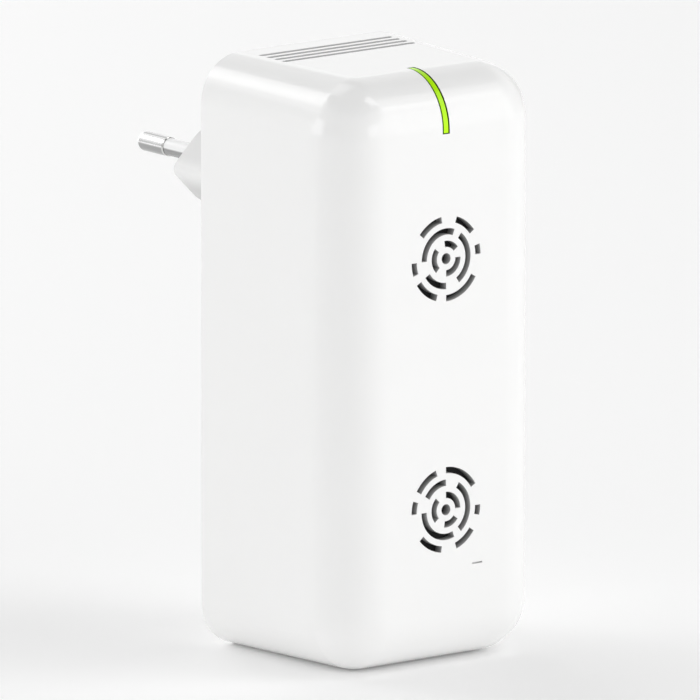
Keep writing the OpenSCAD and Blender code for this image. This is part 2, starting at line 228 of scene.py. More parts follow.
wall = 0.002
front_round = 0.0111
rear_round = 0.0096
draft_side = 0.00115
draft_end = 0.00025
ball_segments = 64
overcut = 0.0005

half_width = shell_high.x
half_height = (shell_high.z - shell_low.z) / 2
front_y = shell_low.y
rear_y = shell_high.y
ball_x = half_width - draft_side - front_round
ball_y = front_y + front_round
ball_z = half_height - draft_end - front_round
both_sides = (-1, 1)
corner_signs = [(x, z) for x in both_sides for z in both_sides]

along_y = (math.pi / 2, 0, 0)
hair = 1e-5


def open_up(name):
    """Names the newest primitive, puts its place in its mesh and enters edit mode."""
    piece = bpy.context.active_object
    piece.name = name
    bpy.ops.object.transform_apply(location=True, rotation=True, scale=True)
    bpy.ops.object.mode_set(mode="EDIT")
    return piece


def close_up():
    """Turns all faces outwards and leaves edit mode."""
    bpy.ops.mesh.select_all(action="SELECT")
    bpy.ops.mesh.normals_make_consistent(inside=False)
    bpy.ops.object.mode_set(mode="OBJECT")


def pick(kind, test):
    """Selects the faces, edges or vertices that pass a test, and nothing else."""
    bpy.ops.mesh.select_mode(type=kind)
    bpy.ops.mesh.select_all(action="DESELECT")
    mesh = bmesh.from_edit_mesh(bpy.context.edit_object.data)
    for element in {"FACE": mesh.faces, "EDGE": mesh.edges, "VERT": mesh.verts}[kind]:
        element.select_set(test(element))
    mesh.select_flush_mode()
    bmesh.update_edit_mesh(bpy.context.edit_object.data)


def push(x, y, z):
    bpy.ops.mesh.extrude_region_move(TRANSFORM_OT_translate={"value": (x, y, z)})


def only(piece):
    """Makes one object the selected and active one."""
    bpy.ops.object.select_all(action="DESELECT")
    piece.select_set(True)
    bpy.context.view_layer.objects.active = piece


def modify(piece, kind, **settings):
    """Adds a modifier and applies it."""
    only(piece)
    modifier = piece.modifiers.new(kind, kind)
    for name, value in settings.items():
        setattr(modifier, name, value)
    bpy.ops.object.modifier_apply(modifier=modifier.name)


def carve(piece, tool, operation="DIFFERENCE"):
    """Cuts a tool's shape out of a piece, or joins it to the piece, and removes the tool."""
    modify(piece, "BOOLEAN", object=tool, operation=operation, solver="EXACT",
           material_mode="TRANSFER")
    bpy.data.objects.remove(tool)


def polish(piece, crease=32):
    """Smooth shading between sharp edges, with flats that stay flat."""
    only(piece)
    bpy.ops.object.shade_smooth_by_angle(angle=math.radians(crease))
    modify(piece, "WEIGHTED_NORMAL", keep_sharp=True)


def twin(piece, matrix):
    """A copy with its own mesh, moved or mirrored."""
    copy = piece.copy()
    copy.data = piece.data.copy()
    copy.data.transform(matrix)
    bpy.context.scene.collection.objects.link(copy)
    if matrix.determinant() < 0:
        only(copy)
        bpy.ops.object.mode_set(mode="EDIT")
        close_up()
    return copy


def gather(pieces):
    """Joins several objects into the first."""
    only(pieces[0])
    for piece in pieces:
        piece.select_set(True)
    bpy.ops.object.join()
    return pieces[0]


def shell_skin():
    """The outer form: four balls in front and four circles behind, wrapped tightly."""
    bpy.ops.mesh.primitive_uv_sphere_add(
        segments=ball_segments, ring_count=ball_segments // 2, radius=front_round,
        location=(0, ball_y, shell_middle.z))
    skin = open_up("front_shell_moulding")
    for x, z in corner_signs:
        bpy.ops.mesh.primitive_uv_sphere_add(
            segments=ball_segments, ring_count=ball_segments // 2, radius=front_round,
            location=(x * ball_x, ball_y, shell_middle.z + z * ball_z))
        bpy.ops.mesh.primitive_circle_add(
            vertices=ball_segments, radius=rear_round, rotation=along_y,
            location=(x * (half_width - rear_round), rear_y,
                      shell_middle.z + z * (half_height - rear_round)))
    bpy.ops.mesh.select_all(action="SELECT")
    bpy.ops.mesh.convex_hull(use_existing_faces=False, join_triangles=False)
    bpy.ops.mesh.select_all(action="SELECT")
    bpy.ops.mesh.dissolve_limited(angle_limit=math.radians(0.2))
    pick("FACE", lambda face: face.normal.y > 0.99)
    bpy.ops.mesh.delete(type="ONLY_FACE")
    close_up()
    modify(skin, "SOLIDIFY", thickness=wall, offset=-1, use_even_offset=True)
    bpy.ops.object.mode_set(mode="EDIT")
    pick("VERT", lambda vert: vert.co.y > rear_y - overcut)
    bpy.ops.transform.resize(value=(1, 0, 1), center_override=(0, rear_y, 0))
    bpy.ops.object.mode_set(mode="OBJECT")
    return skin


def posts(name, rows):
    """Round posts along Y, each given as x, z, radius, first y and last y."""
    made = None
    for x, z, radius, start, stop in rows:
        bpy.ops.mesh.primitive_cylinder_add(
            vertices=32, radius=radius, depth=stop - start, rotation=along_y,
            location=(x, (start + stop) / 2, z))
        if made is None:
            made = open_up(name)
    close_up()
    return made


def half_spread(node, axis, head):
    """Half the distance between the axes of a node's outermost screws."""
    low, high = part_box(node)
    return (high[axis] - low[axis]) / 2 - head


case_screw_head = 0.0028
case_screw_x = half_spread("case_screws", 0, case_screw_head)
case_screw_z = half_spread("case_screws", 2, case_screw_head)
board_screw_head = 0.0023
board_screw_x = half_spread("board_screws", 0, board_screw_head)
board_screw_z = half_spread("board_screws", 2, board_screw_head)
board_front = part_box("main_board")[0].y
basket_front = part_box("upper_basket")[0].y
tweeter_ear = 0.0175
cup_top = 0.006

# Each post starts a little behind the front face and has a pilot hole in its rear end.
case_post, case_post_start, case_pilot, case_pilot_depth = 0.0035, 0.0052, 0.00125, 0.01
board_post, board_post_start, board_pilot, board_pilot_depth = 0.0026, 0.0034, 0.00105, 0.008
ear_post, ear_post_start, ear_pilot, ear_pilot_depth = 0.0024, 0.001, 0.0008, 0.0028

grille_axes = [(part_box(node)[0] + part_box(node)[1]) / 2
               for node in ("upper_dust_screen", "lower_dust_screen")]
case_screw_places = [(x * case_screw_x, shell_middle.z + z * case_screw_z)
                     for x, z in corner_signs]
board_screw_places = [(x * board_screw_x, shell_middle.z + z * board_screw_z)
                      for x, z in corner_signs]
ear_places = [(0, axis.z + z * tweeter_ear) for axis in grille_axes for z in both_sides]

post_rows = []
hole_rows = []
for places, radius, start, end, pilot, depth in (
        (case_screw_places, case_post, case_post_start, rear_y - cup_top,
         case_pilot, case_pilot_depth),
        (board_screw_places, board_post, board_post_start, board_front,
         board_pilot, board_pilot_depth),
        (ear_places, ear_post, ear_post_start, basket_front, ear_pilot, ear_pilot_depth)):
    for x, z in places:
        post_rows.append((x, z, radius, front_y + start, end))
        hole_rows.append((x, z, pilot, end - depth, end + overcut))

# Each grille is three broken rings of slots round a hole.  A ring is its inner radius and
# its slots, as first and last angle in degrees, anticlockwise as seen from the front.
slot_width = 0.00125
slot_flare = 0.00005
grille_hole = 0.0011
rings = [
    (0.0075, [(0, 14), (36, 72), (98, 140), (180, 198), (212, 253), (270, 329)]),
    (0.00495, [(-58, 52), (70, 180), (212, 270)]),
    (0.0024, [(36, 97), (140, 226), (270, 360)]),
]


def ring_slot(axis, inner, start, stop):
    """Cutter for one curved slot, which flares a little where it meets the face."""
    middle = inner + slot_width / 2
    back = front_y + wall + overcut
    lip = front_y + slot_flare
    turn = math.radians(start)
    x = axis.x + middle * math.cos(turn)
    z = axis.z + middle * math.sin(turn)
    bpy.ops.mesh.primitive_plane_add(size=1, location=(x, (back + lip) / 2, z),
                                     rotation=(0, -turn, 0))
    bpy.context.active_object.scale = (slot_width, back - lip, 1)
    cutter = open_up("slot_cutter")
    pick("EDGE", lambda edge: all(vert.co.y < lip + hair for vert in edge.verts))
    push(0, -slot_flare, 0)
    flare = 1 + 2 * slot_flare / slot_width
    bpy.ops.transform.resize(value=(flare, 1, flare), center_override=(x, front_y, z))
    push(0, -overcut, 0)
    bpy.ops.mesh.select_all(action="SELECT")
    steps = max(4, round((stop - start) / 4))
    bpy.ops.mesh.spin(steps=steps, angle=math.radians(stop - start),
                      center=(axis.x, 0, axis.z), axis=(0, 1, 0))
    close_up()
    return cutter


def turned(name, steps, x, z, sides=48):
    """A piece turned along Y: a disc, extruded and scaled through (y, radius) steps."""
    y, radius = steps[0]
    bpy.ops.mesh.primitive_circle_add(vertices=sides, radius=radius, fill_type="NGON",
                                      location=(x, y, z), rotation=along_y)
    piece = open_up(name)
    for next_y, next_radius in steps[1:]:
        push(0, next_y - y, 0)
        grow = next_radius / radius
        bpy.ops.transform.resize(value=(grow, 1, grow), center_override=(x, next_y, z))
        y, radius = next_y, next_radius
    close_up()
    return piece


def middle_hole(axis):
    """Cutter for the round hole in the middle, with the same flare."""
    return turned("hole_cutter", [
        (front_y + wall + overcut, grille_hole),
        (front_y + slot_flare, grille_hole),
        (front_y, grille_hole + slot_flare),
        (front_y - overcut, grille_hole + slot_flare),
    ], axis.x, axis.z, 32)


# Four cooling slots in the top, and the little groove low on the front.
vent_length = 0.0336
vent_width = 0.0013
vent_pitch = 0.00255
vent_start = 0.0319
vent_flare = 0.00003
groove_size = (0.0026, 0.0012, 0.00035)
groove_place = (0.008, front_y, shell_low.z + 0.0209)


def vent_cutter():
    """Cutter for the first cooling slot, with round ends and a flared mouth."""
    y = front_y + vent_start
    top = shell_high.z - draft_end / 2
    bottom = shell_high.z - 2 * wall
    lip = top - vent_flare
    bpy.ops.mesh.primitive_cube_add(size=1, location=(0, y, (bottom + lip) / 2),
                                    scale=(vent_length, vent_width, lip - bottom))
    cutter = open_up("vent_cutter")
    pick("EDGE", lambda edge: abs(edge.verts[0].co.z - edge.verts[1].co.z) > hair)
    bpy.ops.mesh.bevel(offset=vent_width * 0.499, segments=8)
    pick("FACE", lambda face: face.normal.z > 0.9)
    push(0, 0, vent_flare)
    bpy.ops.transform.resize(value=(1 + 2 * vent_flare / vent_length,
                                    1 + 2 * vent_flare / vent_width, 1),
                             center_override=(0, y, top))
    push(0, 0, 2 * overcut)
    close_up()
    return cutter


def groove_cutter():
    bpy.ops.mesh.primitive_cube_add(size=1, location=groove_place, scale=groove_size)
    cutter = open_up("groove_cutter")
    bpy.ops.mesh.bevel(offset=groove_size[2] / 4, segments=3)
    close_up()
    return cutter


# The light pipe's slot runs over the rounding between the top and the front.
pipe_width = 0.00135
pipe_gap = 0.00022
ball_top = shell_middle.z + ball_z
pipe_run = ball_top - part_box("light_pipe")[0].z


def strip_over_edge(name, width, inner, outer, run, corner):
    """A bar that follows the rounding from the top to the front, straight at both ends."""
    bpy.ops.mesh.primitive_plane_add(size=1, rotation=along_y,
                                     location=(0, ball_y + run, ball_top + (inner + outer) / 2))
    bpy.context.active_object.scale = (width, outer - inner, 1)
    strip = open_up(name)
    if corner:
        pick("VERT", lambda vert: vert.co.z > ball_top + outer - hair)
        bpy.ops.mesh.bevel(affect="VERTICES", offset=corner, segments=3)
        bpy.ops.mesh.select_all(action="SELECT")
    push(0, -run, 0)
    bpy.ops.mesh.spin(steps=24, angle=math.pi / 2, center=(0, ball_y, ball_top),
                      axis=(-1, 0, 0))
    push(0, 0, -run)
    close_up()
    return strip


def white_moulding(name, tone, roughness, grain_scale, grain_depth):
    """White ABS, faintly clouded by the flow in the mould, with the mould's own skin."""
    material, shader, place = new_finish(name, roughness, IOR=1.5)
    cloud = place.noise(45, 3)
    darker = tuple(value - 0.012 for value in tone)
    cloud.tint(darker, tone).feeds(shader, "Base Color")
    (roughness + (place.noise(300) - 0.5) * 0.06).feeds(shader, "Roughness")
    skin = place.noise(grain_scale, 4) + place.noise(60) * 0.5
    skin.bump(grain_depth, 0.35).feeds(shader, "Normal")
    return material


def shaded_wall(name, axis, mouth, depth, near, far):
    """The matt wall of a slot in the same ABS, with painted shade that darkens it the deeper it
    lies.
    """
    material, shader, place = new_finish(name, 0.6)
    # Painted shade: the colour runs from near to far over the depth from the mouth, with a
    # little random mottling.
    depth_shade_painted = place.part(axis).ramp(mouth, mouth + depth) + (place.noise(1800, 4) - 0.5) * 0.15
    depth_shade_painted.tint(near, far).feeds(shader, "Base Color")
    place.noise(2600).bump(0.00001, 0.4).feeds(shader, "Normal")
    return material


shell = shell_skin()
dress(shell, white_moulding("glossy_white_abs", (0.925, 0.925, 0.92), 0.13, 2600, 0.000004))
carve(shell, posts("shell_posts", post_rows), "UNION")
upper_slots = [ring_slot(grille_axes[0], inner, start, stop)
               for inner, slots in rings for start, stop in slots]
upper_slots.append(middle_hole(grille_axes[0]))
upper_cutter = gather(upper_slots)
between_grilles = (grille_axes[0] + grille_axes[1]) / 2
upside_down = (Matrix.Translation((0, 0, between_grilles.z)) @ Matrix.Diagonal((1, 1, -1, 1))
               @ Matrix.Translation((0, 0, -between_grilles.z)))
vents = [vent_cutter()]
vents += [twin(vents[0], Matrix.Translation((0, step * vent_pitch, 0))) for step in (1, 2, 3)]
groove = groove_cutter()
pipe_slot = strip_over_edge("pipe_slot", pipe_width + 2 * pipe_gap,
                            front_round - wall - overcut, front_round + overcut,
                            pipe_run + pipe_gap, 0)
# Painted shade: the walls of the pipe's slot are painted dark green for the shadow in the
# narrow gap round the strip, tinted by its light.
painted_gap_shade_green = (0.05, 0.09, 0.01)
# Painted shade on the walls of the slots: mid grey at the face to dark grey deep in the grille
# slots, light grey to a little darker in the groove, and pale grey at the top to dark grey
# lower down in the cooling slots.
dress(upper_cutter, shaded_wall("grille_slot_wall", 1, front_y, wall,
                                (0.54, 0.54, 0.54), (0.25, 0.25, 0.25)))
dress(groove, shaded_wall("groove_wall", 1, front_y, wall,
                          (0.75, 0.75, 0.75), (0.65, 0.65, 0.65)))
dress(pipe_slot, shaded_wall("pipe_slot_wall", 1, front_y, 0.01, painted_gap_shade_green, painted_gap_shade_green))
vent_wall = shaded_wall("vent_wall", 2, shell_high.z - wall, wall * 0.75,
                        (0.25, 0.25, 0.25), (0.62, 0.62, 0.62))
for vent in vents:
    dress(vent, vent_wall)
cutters = [upper_cutter, twin(upper_cutter, upside_down), *vents, groove, pipe_slot,
           posts("screw_holes", hole_rows)]
carve(shell, gather(cutters))
polish(shell)
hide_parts("front_shell")
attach(shell, "housing")

# ---- Light pipe and lamp ----------------------------------------------------
# A strip of yellow-green acrylic that carries the lamp's light to the edge of the case.
# It is pressed in from the inside, and a wider foot behind the wall keeps it there.

pipe_inner = 0.00835
pipe_sink = 0.00003
pipe_corner = 0.00018
foot_width = 0.004
foot_outer = 0.00895
foot_depth = 0.0014
foot_corner = 0.0002
foot_start = math.radians(10)
foot_turn = math.radians(70)


def pipe_foot():
    """The wider part behind the wall, which bends round the same middle as the strip."""
    middle = foot_outer - foot_depth / 2
    bpy.ops.mesh.primitive_plane_add(
        size=1, rotation=(math.pi / 2 + foot_start, 0, 0),
        location=(0, ball_y - middle * math.sin(foot_start),
                  ball_top + middle * math.cos(foot_start)))
    bpy.context.active_object.scale = (foot_width, foot_depth, 1)
    foot = open_up("pipe_foot")
    bpy.ops.mesh.bevel(affect="VERTICES", offset=foot_corner, segments=2)
    bpy.ops.mesh.select_all(action="SELECT")
    bpy.ops.mesh.spin(steps=18, angle=foot_turn, center=(0, ball_y, ball_top), axis=(-1, 0, 0))
    close_up()
    return foot


def lit_acrylic():
    """Tinted clear acrylic with a lamp behind it: a bright core that turns deeper green towards
    the top, and painted dark green shade along its sides.
    """
    material, shader, place = new_finish("lit_green_acrylic", 0.12, IOR=1.49,
                                         Specular_IOR_Level=0.2, Emission_Strength=0.22)
    across = place.part(0)
    # Painted shade: across the strip, its outer edges turn dark green for the shadow of the gap
    # round it, and glow less there.
    edge = across.math("ABSOLUTE", across, 0).ramp(pipe_width * 0.38, pipe_width * 0.44)
    core = place.part(2).ramp(ball_top - 0.002, ball_top + front_round).tint(
        (0.46, 0.88, 0.008), (0.34, 0.66, 0.002))
    colour = edge.blend(core, (0.06, 0.13, 0.01, 1))
    colour.feeds(shader, "Base Color")
    colour.feeds(shader, "Emission Color")
    (place.noise(1500) * 0.1 + 0.07).feeds(shader, "Roughness")
    place.noise(900).bump(0.000004, 0.3).feeds(shader, "Normal")
    return material


pipe = strip_over_edge("light_pipe_strip", pipe_width, pipe_inner, front_round - pipe_sink,
                       pipe_run, pipe_corner)
carve(pipe, pipe_foot(), "UNION")
polish(pipe)
dress(pipe, lit_acrylic())
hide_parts("light_pipe")
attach(pipe, "housing")


def plain_finish(name, colour, roughness, grain, depth, vary=0.08, **constants):
    """A finish of one tone with clouding and a fine grain, for moulded and coated parts."""
    material, shader, place = new_finish(name, roughness, **constants)
    light = tuple(min(1, value * (1 + vary)) for value in colour)
    dark = tuple(value * (1 - vary) for value in colour)
    place.noise(grain * 0.12, 3).tint(dark, light).feeds(shader, "Base Color")
    (place.noise(grain * 0.5) * 0.2 + (roughness - 0.1)).feeds(shader, "Roughness")
    place.noise(grain, 4).bump(depth, 0.4).feeds(shader, "Normal")
    return material


dress(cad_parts["indicator_led"],
      plain_finish("lamp_epoxy", (0.25, 0.85, 0.15), 0.12, 1500, 0.000004))
tinned = plain_finish("tinned_wire", (0.72, 0.72, 0.7), 0.3, 3000, 0.00001, Metallic=1.0)
dress(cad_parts["led_legs"], tinned)

# ---- Tweeters ---------------------------------------------------------------
# Behind each grille: a foam ring, a disc of black dust cloth, and a moulded basket held by
# two screws.  A paper cone with a brass piezo disc glued to its back moves in the basket.


def dust_cloth():
    """Black plain weave, threads 0.25 mm apart, over and under in turn."""
    material, shader, place = new_finish("black_dust_cloth", 0.85)
    thread_pitch = 0.00025
    thread_turn = 2 * math.pi / thread_pitch
    warp = place.math("SINE", place.part(0) * thread_turn, 0)
    weft = place.math("SINE", place.part(2) * thread_turn, 0)
    height = warp * weft * 0.5 + 0.5
    height.tint((0.004, 0.004, 0.004), (0.02, 0.02, 0.021)).feeds(shader, "Base Color")
    height.bump(0.00006, 0.8).feeds(shader, "Normal")
    return material


def paper_pulp():
    """Black paper with felted fibres, a little lighter where they lie thick."""
    material, shader, place = new_finish("black_paper", 0.8)
    fibre = place.stretched((1, 1, 3.5)).noise(1400, 6)
    fibre.tint((0.012, 0.012, 0.012), (0.05, 0.05, 0.05)).feeds(shader, "Base Color")
    fibre.bump(0.00005, 0.6).feeds(shader, "Normal")
    return material


def rolled_brass():
    """Brass sheet with fine rolling lines."""
    material, shader, place = new_finish("rolled_brass", 0.3, Metallic=1.0)
    lines = place.stretched((1, 1, 40)).noise(220, 3)
    lines.tint((0.7, 0.52, 0.2), (0.84, 0.68, 0.34)).feeds(shader, "Base Color")
    (lines * 0.2 + 0.2).feeds(shader, "Roughness")
    lines.bump(0.000005, 0.3).feeds(shader, "Normal")
    return material


foam = plain_finish("black_foam", (0.04, 0.04, 0.04), 0.9, 2200, 0.0002)
cloth = dust_cloth()
basket_black = plain_finish("basket_black", (0.05, 0.05, 0.05), 0.55, 2000, 0.00002)
pulp = paper_pulp()
brass = rolled_brass()
for place_name in ("upper", "lower"):
    dress(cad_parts[place_name + "_gasket"], foam)
    dress(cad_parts[place_name + "_dust_screen"], cloth)
    dress(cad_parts[place_name + "_basket"], basket_black)
    dress(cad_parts[place_name + "_cone"], pulp)
    dress(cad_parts[place_name + "_piezo_disc"], brass)


def zinc_plate():
    """Zinc-plated steel: bright, with faint drawing lines and a slight blue-yellow cast."""
    material, shader, place = new_finish("zinc_plate", 0.32, Metallic=1.0)
    lines = place.stretched((1, 8, 1)).noise(700, 3)
    lines.tint((0.56, 0.57, 0.58), (0.7, 0.69, 0.64)).feeds(shader, "Base Color")
    (lines * 0.25 + 0.2).feeds(shader, "Roughness")
    lines.bump(0.000008, 0.4).feeds(shader, "Normal")
    return material


zinc = zinc_plate()
dress(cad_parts["speaker_screws"], zinc)
dress(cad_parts["speaker_leads"], tinned)

# ---- Board and what is on it ------------------------------------------------
# Green laminate screwed to four posts of the shell.  On its back are the parts that turn
# the mains into a low voltage, and the chip and transistors that drive the tweeters.


def solder_resist():
    """Green varnish over copper: the tracks show as a paler, slightly raised maze."""
    material, shader, place = new_finish("solder_resist", 0.35)
    cells = place.node("TexVoronoi", {"feature": "DISTANCE_TO_EDGE", "distance": "MANHATTAN"},
                       {"Vector": place, "Scale": 190.0})
    tracks = 1 - cells.ramp(0.05, 0.12)
    tracks.tint((0.012, 0.1, 0.03), (0.04, 0.24, 0.08)).feeds(shader, "Base Color")
    (tracks * 0.00003 + place.noise(2500) * 0.000006).bump(1.0).feeds(shader, "Normal")
    return material


def laminations():
    """Stacked steel sheets, varnished, seen on edge."""
    material, shader, place = new_finish("steel_laminations", 0.5, Metallic=0.6)
    sheet_thickness = 0.0005
    edge = place.part(1).wave(sheet_thickness)
    (edge * 0.6 + place.noise(900) * 0.4).tint((0.09, 0.09, 0.1), (0.28, 0.27, 0.26)).feeds(
        shader, "Base Color")
    edge.bump(0.00008, 0.7).feeds(shader, "Normal")
    return material


def copper_turns():
    """Enamelled wire wound in close turns, one above the other."""
    material, shader, place = new_finish("copper_turns", 0.28, Metallic=1.0)
    wire_thickness = 0.00035
    turns = (place.part(2) + place.noise(150) * 0.0001).wave(wire_thickness)
    turns.tint((0.3, 0.1, 0.03), (0.8, 0.38, 0.16)).feeds(shader, "Base Color")
    turns.bump(0.00015, 0.9).feeds(shader, "Normal")
    return material


def banded_resistor():
    """Tan lacquer with brown, black and red rings at set distances from the ends."""
    material, shader, place = new_finish("banded_resistor", 0.35)
    x = place.part(0)
    ring_pitch = 0.0013
    phase = x.math("FRACT", x * (1 / ring_pitch), 0)
    ring = phase.ramp(0.55, 0.6) * (1 - phase.ramp(0.85, 0.9))
    kind = x.math("FRACT", x * (0.5 / ring_pitch), 0).ramp(0.49, 0.51)
    bands = kind.tint((0.16, 0.05, 0.02), (0.5, 0.04, 0.02))
    ring.blend((0.62, 0.47, 0.3, 1), bands).feeds(shader, "Base Color")
    place.noise(1800).bump(0.00001, 0.4).feeds(shader, "Normal")
    return material


black_epoxy = plain_finish("black_epoxy", (0.025, 0.025, 0.026), 0.5, 2600, 0.00002)
board_finishes = {
    "main_board": solder_resist(),
    "board_screws": zinc,
    "transformer_core": laminations(),
    "transformer_bobbin": plain_finish("ivory_nylon", (0.78, 0.73, 0.58), 0.45, 1500,
                                       0.00001),
    "transformer_winding": copper_turns(),
    "film_capacitor": plain_finish("yellow_case", (0.85, 0.6, 0.05), 0.3, 1200, 0.00001),
    "electrolytic_capacitors": plain_finish("navy_sleeve", (0.02, 0.04, 0.16), 0.25, 900,
                                            0.00002),
    "fuse": black_epoxy,
    "bridge_rectifier": black_epoxy,
    "controller_chip": black_epoxy,
    "drive_transistors": black_epoxy,
    "varistor": plain_finish("blue_dip", (0.04, 0.16, 0.5), 0.22, 700, 0.00005),
    "resistors": banded_resistor(),
    "live_wire": plain_finish("brown_wire", (0.2, 0.08, 0.03), 0.45, 1500, 0.00001),
    "neutral_wire": plain_finish("blue_wire", (0.03, 0.12, 0.45), 0.45, 1500, 0.00001),
}
for node_name, finish in board_finishes.items():
    dress(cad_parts[node_name], finish)

# ---- Rear cover -------------------------------------------------------------
# A satin white ABS plate that closes the shell from behind, flush with its edge.  A lip
# centres it, four deep cups hold the case screws, and the plug boss comes out through it.

cover_low, cover_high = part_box("rear_cover")
cover_thickness = 0.0022
cover_corner = rear_round - wall - 0.00015
lip_inset = 0.0003
lip_thickness = 0.0014
lip_depth = 0.003
edge_inset = 0.00035
edge_round = 0.00025
cup_radius = 0.004
cup_length = 0.005
well_radius = 0.0031
well_depth = 0.0035
well_chamfer = 0.0003
shank_hole = 0.0017
boss_flange_gap = 0.003
boss_stud = 0.0028
boss_stud_length = 0.0035
boss_pilot = 0.00095
boss_pilot_length = 0.004
boss_screw_head = 0.0022
boss_drop = 0.0022
boss_tip = (0.0146, 0.0019)
boss_flank = (0.00576, 0.00815)
boss_gap = 0.0001


def boss_prism(name, grow, start, stop):
    """Flattened hexagon with soft corners, extruded along Y."""
    made = None
    for distance, radius in (boss_tip, boss_flank):
        for side in both_sides:
            bpy.ops.mesh.primitive_cylinder_add(
                vertices=64, radius=radius + grow, depth=stop - start, rotation=along_y,
                location=(side * distance, (start + stop) / 2, -boss_drop))
            if made is None:
                made = open_up(name)
    bpy.ops.mesh.select_all(action="SELECT")
    bpy.ops.mesh.convex_hull(use_existing_faces=False, join_triangles=False)
    bpy.ops.mesh.select_all(action="SELECT")
    bpy.ops.mesh.dissolve_limited(angle_limit=math.radians(0.2))
    close_up()
    return made


def cover_plate():
    """The plate with its lip, and a narrow band that keeps its face flat inside the edge."""
    size = cover_high - cover_low
    plate_front = cover_high.y - cover_thickness
    bpy.ops.mesh.primitive_cube_add(
        size=1, location=((cover_low.x + cover_high.x) / 2, plate_front + cover_thickness / 2,
                          (cover_low.z + cover_high.z) / 2),
        scale=(size.x, cover_thickness, size.z))
    plate = open_up("rear_cover_moulding")
    pick("EDGE", lambda edge: abs(edge.verts[0].co.y - edge.verts[1].co.y) > hair)
    bpy.ops.mesh.bevel(offset=cover_corner, segments=16)
    pick("FACE", lambda face: face.normal.y < -0.9)
    bpy.ops.mesh.inset(thickness=lip_inset)
    push(0, -lip_depth, 0)
    bpy.ops.mesh.inset(thickness=lip_thickness)
    push(0, lip_depth, 0)
    pick("FACE", lambda face: face.normal.y > 0.9 and face.calc_center_median().y
         > cover_high.y - hair)
    bpy.ops.mesh.inset(thickness=edge_inset)
    pick("EDGE", lambda edge: all(vert.co.y > cover_high.y - hair for vert in edge.verts)
         and len(edge.link_faces) == 2
         and min(face.normal.y for face in edge.link_faces) < 0.5)
    bpy.ops.mesh.bevel(offset=edge_round, segments=3)
    close_up()
    return plate


cover = cover_plate()
cup_rows = [(x, z, cup_radius, rear_y - cup_top, rear_y - cup_top + cup_length)
            for x, z in case_screw_places]
boss_screw_x = half_spread("plug_boss_screws", 0, boss_screw_head)
boss_flange_rear = rear_y - cover_thickness - boss_flange_gap
cup_rows += [(side * boss_screw_x, -boss_drop, boss_stud, boss_flange_rear,
              boss_flange_rear + boss_stud_length) for side in both_sides]
carve(cover, posts("cover_cups", cup_rows), "UNION")


def well_cutter(x, z):
    """Cutter for one screw well: wide in the cup, narrow for the shank, chamfered mouth."""
    return turned("well_cutter", [
        (rear_y - cup_top - overcut, shank_hole),
        (rear_y - well_depth, shank_hole),
        (rear_y - well_depth, well_radius),
        (rear_y - well_chamfer, well_radius),
        (rear_y, well_radius + well_chamfer),
        (rear_y + overcut, well_radius + well_chamfer),
    ], x, z)


wells = [well_cutter(x, z) for x, z in case_screw_places]
boss_pilot_rows = [(side * boss_screw_x, -boss_drop, boss_pilot, boss_flange_rear - overcut,
                    boss_flange_rear + boss_pilot_length) for side in both_sides]
opening = boss_prism("boss_opening", boss_gap, rear_y - cover_thickness - overcut,
                     rear_y + overcut)
carve(cover, gather([*wells, posts("boss_pilots", boss_pilot_rows), opening]))
polish(cover)
dress(cover, white_moulding("satin_white_abs", (0.86, 0.86, 0.855), 0.42, 3200, 0.00003))
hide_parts("rear_cover")
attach(cover, "housing")

# ---- Case screws ------------------------------------------------------------
# Four zinc-plated pan-head screws with cross recesses, sunk in the cover's cups, which
# draw the cover against the shell's posts.

screw_seat = rear_y - well_depth
screw_shank = 0.0012
recess_middle = 0.0012
recess_length = 0.0031
recess_width = 0.0007
recess_depth = 0.0016
recess_taper = 0.55

# From the point to the top of the head: how far behind the head's seat, and the radius.
screw_steps = [
    (-0.011, 0.0003), (-0.0098, screw_shank), (0, screw_shank), (0, case_screw_head),
    (0.0008, case_screw_head), (0.0013, 0.00255), (0.0016, 0.0021), (0.00175, 0.0014),
    (0.0018, 0.0006),
]


def case_screw(x, z):
    """A screw with its cross recess, which narrows towards the bottom."""
    screw = turned("case_screw", [(screw_seat + y, radius) for y, radius in screw_steps], x, z)
    recess_y = screw_seat + recess_middle
    arms = []
    for arm_x, arm_z in ((recess_length, recess_width), (recess_width, recess_length)):
        bpy.ops.mesh.primitive_cube_add(size=1, location=(x, recess_y, z),
                                        scale=(arm_x, recess_depth, arm_z))
        tool = open_up("recess_cutter")
        pick("FACE", lambda face: face.normal.y < -0.9)
        bpy.ops.transform.resize(value=(recess_taper, 1, recess_taper),
                                 center_override=(x, recess_y, z))
        close_up()
        arms.append(tool)
    for tool in arms:
        carve(screw, tool)
    polish(screw, 40)
    return screw


first_screw = case_screw(case_screw_x, shell_middle.z + case_screw_z)
screws = [first_screw]
for x, z in corner_signs[:-1]:
    screws.append(twin(first_screw, Matrix.Translation(
        ((x - 1) * case_screw_x, 0, (z - 1) * case_screw_z))))
screw_set = gather(screws)
screw_set.name = "case_screw_set"
dress(screw_set, zinc)
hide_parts("case_screws")
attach(screw_set, "housing")

# ---- Plug boss --------------------------------------------------------------
# A hollow satin white moulding that stands out of the cover and fits a recessed socket.
# Its flange is screwed to the cover from inside, and its end carries both pins.

boss_low, boss_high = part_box("plug_boss")
boss_flange_low = boss_low.y
boss_flange_thickness = 0.0022
boss_flange_width = boss_high.x - boss_low.x
boss_flange_height = 0.02
boss_wall = 0.002
boss_nose = 0.01
pin_x = (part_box("plug_pin_right")[0].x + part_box("plug_pin_right")[1].x) / 2
pin_flange = 0.0022
pin_flange_start, pin_flange_stop = -0.006, -0.004
shank_radius = 0.0014
flange_hole = 0.0013
flange_corner = 0.003
end_chamfer = 0.0004
hollow_softening = 0.0006
sleeve_radius = 0.0018
pin_play = 0.00005


def boss_body():
    body = boss_prism("plug_boss_moulding", 0, boss_flange_low, boss_high.y)
    bpy.ops.object.mode_set(mode="EDIT")
    pick("EDGE", lambda edge: all(vert.co.y > boss_high.y - hair for vert in edge.verts))
    bpy.ops.mesh.bevel(offset=end_chamfer, segments=4)
    close_up()
    return body


